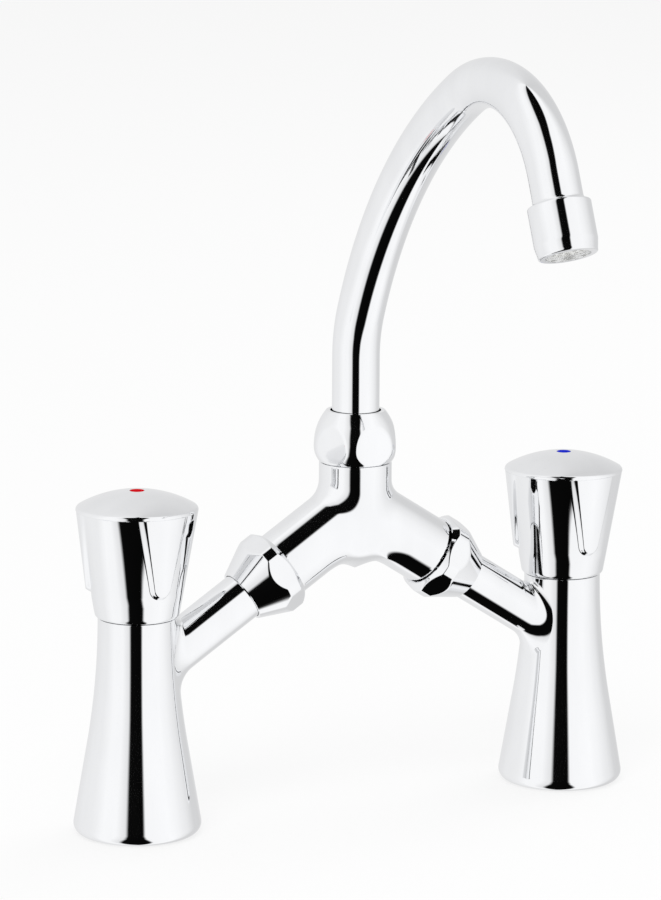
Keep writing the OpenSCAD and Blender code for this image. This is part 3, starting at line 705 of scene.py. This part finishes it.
def handle_skin():
    """Grip with its hollow skirt, web, boss and recess, whose rings lie at the grip's own angles."""
    grip = handle_grip()
    inner = outline(
        [cap_recess_r, rim_z],
        [cap_recess_r, cap_recess_z],
        [screw_seat_r, cap_recess_z],
        [screw_seat_r, screw_seat_z],
        [screw_hole_r, screw_seat_z],
        [screw_hole_r, spindle_top_z],
        [drive_hole_r, spindle_top_z],
        [drive_hole_r, boss_z],
        [boss_r, boss_z],
        [boss_r, web_z],
        [hollow_top_r, web_z],
        [hollow_low_r, grip_z],
    )
    angle = np.arctan2(grip[-1, :, 1], grip[-1, :, 0])
    r = inner[:, 0][:, None]
    z = np.broadcast_to(inner[:, 1][:, None], (len(inner), len(angle)))
    return np.concatenate([grip, np.stack([r * np.cos(angle), r * np.sin(angle), z], axis=-1)])


def dome_size():
    """Radius of the dome and height of its centre, for an arc over the top that comes down to dome_side_z."""
    rise = dome_top_z - dome_side_z
    dome_r = (rim_r**2 + rise**2) / (2 * rise)
    return dome_r, dome_top_z - dome_r


def cap_skin():
    """Domed cap: a rounded rim that touches the dome from inside, the dome, the dot's recess, the skirt."""
    dome_r, dome_low_z = dome_size()
    edge_r = rim_r - rim_round
    edge_z = dome_low_z + math.sqrt((dome_r - rim_round) ** 2 - edge_r**2)
    touch = math.degrees(math.atan2(edge_z - dome_low_z, edge_r))
    skirt_r = cap_recess_r - cap_gap
    skirt_z = cap_recess_z + cap_wall / 4
    r = np.linspace(edge_r * dome_r / (dome_r - rim_round), index_r, 60)
    z = dome_low_z + np.sqrt(dome_r**2 - r**2)
    profile = outline(
        stretch(skirt_r, rim_z, rim_r - cap_edge, rim_z),
        stretch(rim_r, rim_z + cap_edge, rim_r, edge_z, step=0.1),
        arc(edge_r, edge_z, rim_round, 0, touch, 10),
        np.stack([r, z], axis=-1),
        [index_r, dome_top_z - index_t],
        [index_hole_r, dome_top_z - index_t],
        [index_hole_r, rim_z + cap_wall],
        [cap_recess_r - cap_wall, rim_z + cap_wall],
        [cap_recess_r - cap_wall, skirt_z],
        [skirt_r, skirt_z],
    )
    return turned(profile, CAP_COLUMNS)


def index_skin():
    """Coloured dot: it fills the recess and stands out of the dome by a hair, with an eased edge."""
    dome_r, dome_low_z = dome_size()
    r = np.linspace(index_r - index_round, index_gap, 12)
    z = dome_low_z + np.sqrt(dome_r**2 - r**2) + index_rise
    profile = outline(
        [index_gap, dome_top_z - index_t],
        [index_r - index_gap, dome_top_z - index_t],
        [index_r - index_gap, dome_top_z - index_side],
        np.stack([r, z], axis=-1),
    )
    return turned(profile, DOT_COLUMNS)


# Finishes

# Range in which most of a noise lies
NOISE_LOW = 0.35
NOISE_HIGH = 0.65


def start_finish(name, slot):
    """Empty material with its shader, named for a finish, that knows the record's slot."""
    finish = bpy.data.materials.new(name)
    finish.use_nodes = True
    finish["slot"] = slot
    tree = finish.node_tree
    return finish, tree, tree.nodes["Principled BSDF"]


def add_node(tree, kind, settings=(), **values):
    """Adds a node, sets its own settings and then its sockets by name."""
    node = tree.nodes.new(kind)
    for key, value in dict(settings).items():
        setattr(node, key, value)
    for key, value in values.items():
        node.inputs[key.replace("_", " ")].default_value = value
    return node


def speckle(tree, scale, detail=4.0, stretched=(1, 1, 1)):
    """Noise on the piece's own coordinates, in spots per metre, stretched along an axis where asked."""
    place = tree.nodes.new("ShaderNodeTexCoord")
    mapping = tree.nodes.new("ShaderNodeMapping")
    mapping.inputs["Scale"].default_value = stretched
    noise = add_node(tree, "ShaderNodeTexNoise", Scale=scale, Detail=detail)
    tree.links.new(place.outputs["Object"], mapping.inputs["Vector"])
    tree.links.new(mapping.outputs["Vector"], noise.inputs["Vector"])
    return noise.outputs["Fac"]


def spread(tree, source, lowest, highest):
    """Carries a noise from its usual middle range to a range of values."""
    node = add_node(tree, "ShaderNodeMapRange", From_Min=NOISE_LOW, From_Max=NOISE_HIGH,
                    To_Min=lowest, To_Max=highest)
    tree.links.new(source, node.inputs["Value"])
    return node.outputs["Result"]


def colour_ramp(tree, source, colours):
    """Colours along a ramp that a value from 0 to 1 picks from; each has its position, lowest first."""
    ramp = tree.nodes.new("ShaderNodeValToRGB")
    stops = ramp.color_ramp.elements
    for number, (position, colour) in enumerate(colours):
        stop = stops[number] if number < 2 else stops.new(1)
        stop.position = position
        stop.color = (*colour, 1)
    tree.links.new(source, ramp.inputs["Fac"])
    return ramp.outputs["Color"]


def two_tones(tree, source, dark, light):
    """Mixes two colours by a noise."""
    return colour_ramp(tree, source, [(NOISE_LOW, dark), (NOISE_HIGH, light)])


def bumped(tree, shader, source, depth, strength=1.0):
    """Raises the surface by a noise, by a depth in metres."""
    bump = add_node(tree, "ShaderNodeBump", Strength=strength, Distance=depth)
    tree.links.new(source, bump.inputs["Height"])
    tree.links.new(bump.outputs["Normal"], shader.inputs["Normal"])


def chrome_finish(name, wave_depth):
    """Polished chrome plate: cool grey metal with faint wiping marks and the slight waves of the brass."""
    finish, tree, shader = start_finish(name, "chrome")
    shader.inputs["Metallic"].default_value = 1.0
    wiped = speckle(tree, 90, 6, (1, 1, 0.25))
    plate = two_tones(tree, wiped, (0.885, 0.89, 0.90), (0.915, 0.92, 0.93))
    tree.links.new(plate, shader.inputs["Base Color"])
    tree.links.new(spread(tree, wiped, 0.03, 0.055), shader.inputs["Roughness"])
    bumped(tree, shader, speckle(tree, 28, 1), wave_depth)
    return finish


def turned_finish(name, slot, dark, light, roughness):
    """Turned metal: fine rings across the axis from a noise that is squeezed along Z."""
    finish, tree, shader = start_finish(name, slot)
    shader.inputs["Metallic"].default_value = 1.0
    rings = speckle(tree, 40, 3, (1, 1, 60))
    tree.links.new(two_tones(tree, rings, dark, light), shader.inputs["Base Color"])
    tree.links.new(spread(tree, rings, roughness * 0.7, roughness * 1.3), shader.inputs["Roughness"])
    bumped(tree, shader, rings, 0.00003)
    return finish


def moulded_finish(name, slot, dark, light, roughness, grain, depth):
    """Moulded rubber, fibre or plastic: two close tones and a fine grain."""
    finish, tree, shader = start_finish(name, slot)
    spots = speckle(tree, grain, 5)
    tree.links.new(two_tones(tree, spots, dark, light), shader.inputs["Base Color"])
    tree.links.new(spread(tree, spots, roughness * 0.85, roughness * 1.15), shader.inputs["Roughness"])
    bumped(tree, shader, spots, depth)
    return finish


def enamel_finish(name, slot, dark, light):
    """Coloured enamel of an index dot, deep in colour also at a low angle."""
    finish, tree, shader = start_finish(name, slot)
    spots = speckle(tree, 700, 3)
    tree.links.new(two_tones(tree, spots, dark, light), shader.inputs["Base Color"])
    tree.links.new(spread(tree, spots, 0.12, 0.2), shader.inputs["Roughness"])
    shader.inputs["Specular IOR Level"].default_value = 0.0
    return finish


cast_chrome = chrome_finish("cast_chrome", 0.00002)
drawn_chrome = chrome_finish("drawn_chrome", 0.00001)
brass = turned_finish("turned_brass", "turned_brass", (0.70, 0.50, 0.20), (0.82, 0.62, 0.29), 0.25)
steel = turned_finish("stainless_steel", "steel", (0.50, 0.50, 0.52), (0.62, 0.62, 0.64), 0.3)
rubber = moulded_finish(
    "black_rubber", "black_rubber", (0.018, 0.018, 0.018), (0.035, 0.035, 0.035), 0.6, 900, 0.00004)
fibre = moulded_finish(
    "pressed_fibre", "fibre", (0.28, 0.09, 0.06), (0.40, 0.15, 0.10), 0.8, 1500, 0.00005)
plastic = moulded_finish(
    "white_plastic", "white_plastic", (0.78, 0.78, 0.76), (0.84, 0.84, 0.82), 0.35, 500, 0.00001)
red_enamel = enamel_finish("red_enamel", "hot_index", (0.55, 0.004, 0.010), (0.66, 0.008, 0.014))
blue_enamel = enamel_finish("blue_enamel", "cold_index", (0.010, 0.020, 0.50), (0.016, 0.030, 0.62))

SLOT_FINISHES = {
    "chrome": cast_chrome,
    "turned_brass": brass,
    "black_rubber": rubber,
    "fibre": fibre,
    "steel": steel,
    "white_plastic": plastic,
    "hot_index": red_enamel,
    "cold_index": blue_enamel,
}


def finish_nodes():
    """Gives every carried-over node the finish of its slot in the record."""
    slot_of = {row["node"]: row["material_slot"] for row in frame["record"]["subparts"]}
    for name, node in frame["nodes"].items():
        node.data.materials.clear()
        node.data.materials.append(SLOT_FINISHES[slot_of[name]])


# Pieces

def build_taps():
    """The pieces that each tap has."""
    grip = handle_skin()
    cap = cap_skin()
    dot = index_skin()
    casing = pillar_casing()
    nut = union_nut()
    for name, side in SIDES.items():
        tap = tap_place(side)
        control = name + "_control"
        add_piece(name + "_pillar_skin", "fixed", name + "_pillar", cast_chrome,
                  loop_skin(put(casing, tap)), capped_skin(pillar_arm(side)))
        add_piece(name + "_handle_skin", control, name + "_handle", cast_chrome, loop_skin(put(grip, tap)))
        add_piece(name + "_cap_skin", control, name + "_handle_cap", cast_chrome, loop_skin(put(cap, tap)))
        add_piece(name + "_index_skin", control, name + "_index", SLOT_FINISHES[name + "_index"],
                  capped_skin(put(dot, tap)))
        add_piece(name + "_union_nut_skin", "fixed", name + "_union_nut", cast_chrome,
                  loop_skin(put(nut, arm_place(side))))


def build_middle():
    """The bridge and the spout."""
    add_piece("bridge_skin", "fixed", "bridge_body", cast_chrome, capped_skin(bridge_skin()))
    add_piece("swivel_nut_skin", "fixed", "swivel_nut", cast_chrome, loop_skin(swivel_nut()))
    add_piece("spout_skin", "spout", "spout_tube", drawn_chrome, loop_skin(spout_tube()))
    add_piece("aerator_skin", "spout", "aerator_housing", cast_chrome,
              loop_skin(put(aerator_housing(), aerator_place())))


# Studio

# The camera was fitted to the photograph's outlines: its place in metres, its turns in degrees, its lens in
# pixels of the photograph and the width of its film in millimetres
camera_azimuth = math.radians(26.567)
camera_dip = math.radians(9.194)
camera_roll = math.radians(0.293)
camera_place = (-0.7681, -1.5074, 0.4624)
photo_w = 661
photo_h = 900
focal_px = 4580.0
axis_px = (322.0, 314.5)
film_len = 36.0


def set_camera():
    """Camera of the photograph: its place, direction and lens, and the picture's point on its axis."""
    right = np.array([math.cos(camera_azimuth), -math.sin(camera_azimuth), 0])
    ahead = np.array([
        math.sin(camera_azimuth) * math.cos(camera_dip),
        math.cos(camera_azimuth) * math.cos(camera_dip),
        -math.sin(camera_dip),
    ])
    up = np.cross(right, ahead)
    rolled_right = math.cos(camera_roll) * right + math.sin(camera_roll) * up
    rolled_up = -math.sin(camera_roll) * right + math.cos(camera_roll) * up
    data = bpy.data.cameras.new("studio_camera")
    data.sensor_width = film_len
    data.lens = focal_px / photo_h * film_len
    data.shift_x = (photo_w / 2 - axis_px[0]) / photo_h
    data.shift_y = (axis_px[1] - photo_h / 2) / photo_h
    data.clip_end = 100
    camera = bpy.data.objects.new("studio_camera", data)
    axes = np.stack([rolled_right, rolled_up, -ahead], axis=1)
    camera.matrix_world = Matrix.Translation(camera_place) @ Matrix(axes.tolist()).to_4x4()
    bpy.context.scene.collection.objects.link(camera)
    bpy.context.scene.camera = camera


# Brightness of the studio as metal reflects it: degrees to the right of the camera's side, and grey
STUDIO_WALLS = [
    (-180, 0.80), (-150, 0.84), (-120, 0.90), (-90, 0.92), (-62, 1.03), (-36, 1.02), (-19, 0.84),
    (-14, 0.003), (12.5, 0.002), (16.5, 1.02), (60, 1.05), (80, 1.0), (104, 0.88), (125, 0.72), (150, 0.70),
    (180, 0.80),
]
WALL_TINT = (1, 1.002, 1.008)

# How much the dark gap widens in steep directions, and how far it then reaches past the zenith
GAP_SPREAD = 0.55
GAP_REACH = 0.42

# Share of both at each height of a direction, from -1 straight down to 1 at the zenith
GAP_HEIGHTS = [(-1, 1.0), (-0.85, 0.72), (-0.5, 0.25), (0, 0.0), (0.6, 0.08), (0.88, 0.5), (1, 1.0)]

# Light of the studio on dull surfaces
DULL_LIGHT = 0.72


def add_maths(tree, operation, first, second, third=0.0):
    """Adds a sum on up to three terms, each a number or another node's output, and gives its result."""
    node = add_node(tree, "ShaderNodeMath", {"operation": operation})
    for socket, term in zip(node.inputs, (first, second, third)):
        if isinstance(term, (int, float)):
            socket.default_value = term
        else:
            tree.links.new(term, socket)
    return node.outputs[0]


def pick_colour(tree, share, colour, other):
    """Mixes two colours by a share from 0 to 1; the second is a colour or another node's output."""
    node = add_node(tree, "ShaderNodeMix", {"data_type": "RGBA"})
    tree.links.new(share, node.inputs["Factor"])
    # Inputs 6 and 7 are the node's two colours, and output 2 is their mixture
    for socket, term in ((node.inputs[6], colour), (node.inputs[7], other)):
        if isinstance(term, tuple):
            socket.default_value = (*term, 1)
        else:
            tree.links.new(term, socket)
    return node.outputs[2]


def studio_walls(tree):
    """Walls of the studio that metal reflects, with one dark gap.

    Their brightness follows the direction's compass angle, measured from the camera's side. In steep
    directions the part that points aside is made smaller and the part towards the camera larger, so the gap
    stays broad above and below the object and ends past the zenith.
    """
    way = tree.nodes.new("ShaderNodeTexCoord").outputs["Generated"]
    towards = add_node(tree, "ShaderNodeVectorMath", {"operation": "DOT_PRODUCT"})
    towards.inputs[1].default_value = (-math.sin(camera_azimuth), -math.cos(camera_azimuth), 0)
    aside = add_node(tree, "ShaderNodeVectorMath", {"operation": "DOT_PRODUCT"})
    aside.inputs[1].default_value = (math.cos(camera_azimuth), -math.sin(camera_azimuth), 0)
    height = tree.nodes.new("ShaderNodeSeparateXYZ")
    for node in (towards, aside, height):
        tree.links.new(way, node.inputs[0])
    level = add_maths(tree, "MULTIPLY_ADD", height.outputs["Z"], 0.5, 0.5)
    steepness = colour_ramp(tree, level, [(z / 2 + 0.5, (share,) * 3) for z, share in GAP_HEIGHTS])
    shrink = add_maths(tree, "MULTIPLY_ADD", steepness, -GAP_SPREAD, 1)
    narrowed = add_maths(tree, "MULTIPLY", aside.outputs["Value"], shrink)
    reaching = add_maths(tree, "MULTIPLY_ADD", steepness, GAP_REACH, towards.outputs["Value"])
    compass = add_maths(tree, "ARCTAN2", narrowed, reaching)
    turn = add_maths(tree, "MULTIPLY_ADD", compass, 1 / (2 * math.pi), 0.5)
    greys = [(degrees / 360 + 0.5, [grey * tint for tint in WALL_TINT]) for degrees, grey in STUDIO_WALLS]
    return colour_ramp(tree, turn, greys)


def set_studio():
    """World with a white backdrop for the camera, even light on dull surfaces, and walls for metal."""
    world = bpy.data.worlds.new("studio")
    world.use_nodes = True
    tree = world.node_tree
    path = tree.nodes.new("ShaderNodeLightPath")
    mirrored = add_maths(tree, "MAXIMUM", path.outputs["Is Glossy Ray"], path.outputs["Is Transmission Ray"])
    around = pick_colour(tree, mirrored, (DULL_LIGHT,) * 3, studio_walls(tree))
    seen = pick_colour(tree, path.outputs["Is Camera Ray"], around, (1, 1, 1))
    tree.links.new(seen, tree.nodes["Background"].inputs["Color"])
    bpy.context.scene.world = world


# Floor and lamps: sizes in metres, power in watts
FLOOR_REACH = 40.0
FLOOR_COLUMNS = 64
FLOOR_WHITE = 0.75
LAMP_AIM = (0, 0, 0.1)
LAMPS = [
    ("key_panel", (-1.2, -1.4, 2.2), 1.6, 26),
    ("fill_panel", (1.8, 0.6, 1.8), 1.6, 12),
]


def set_floor():
    """Wide pale floor: the camera sees it mostly as plain white, and metal sees the walls in its place."""
    angle = np.arange(FLOOR_COLUMNS) * 2 * math.pi / FLOOR_COLUMNS
    rim = np.stack([np.cos(angle), np.sin(angle), np.zeros(FLOOR_COLUMNS)], axis=-1) * FLOOR_REACH
    mesh = bpy.data.meshes.new("studio_floor")
    mesh.from_pydata(rim.tolist(), [], [list(range(FLOOR_COLUMNS))])
    pale = bpy.data.materials.new("pale_floor")
    pale.use_nodes = True
    tree = pale.node_tree
    shader = tree.nodes["Principled BSDF"]
    shader.inputs["Base Color"].default_value = (0.93, 0.93, 0.93, 1)
    shader.inputs["Roughness"].default_value = 0.9
    shader.inputs["Specular IOR Level"].default_value = 0.0
    glow = add_node(tree, "ShaderNodeEmission", Color=(1, 1, 1, 1), Strength=1.0)
    path = tree.nodes.new("ShaderNodeLightPath")
    white = add_maths(tree, "MULTIPLY", path.outputs["Is Camera Ray"], FLOOR_WHITE)
    mixed = tree.nodes.new("ShaderNodeMixShader")
    tree.links.new(white, mixed.inputs["Fac"])
    tree.links.new(shader.outputs[0], mixed.inputs[1])
    tree.links.new(glow.outputs[0], mixed.inputs[2])
    tree.links.new(mixed.outputs[0], tree.nodes["Material Output"].inputs["Surface"])
    mesh.materials.append(pale)
    floor = bpy.data.objects.new("studio_floor", mesh)
    floor.visible_glossy = False
    bpy.context.scene.collection.objects.link(floor)


def set_lamps():
    """Two soft panels that light the dull surfaces from above; metal sees the walls in their place."""
    for name, place, size, power in LAMPS:
        data = bpy.data.lights.new(name, "AREA")
        data.size = size
        data.energy = power
        lamp = bpy.data.objects.new(name, data)
        away = np.array(place) - LAMP_AIM
        away /= np.linalg.norm(away)
        side = np.cross([0, 0, 1], away)
        side /= np.linalg.norm(side)
        axes = np.stack([side, np.cross(away, side), away], axis=1)
        lamp.matrix_world = Matrix.Translation(place) @ Matrix(axes.tolist()).to_4x4()
        lamp.visible_glossy = False
        bpy.context.scene.collection.objects.link(lamp)


set_camera()
set_studio()
set_floor()
set_lamps()
bpy.context.scene.view_settings.view_transform = "Standard"
finish_nodes()
build_taps()
build_middle()
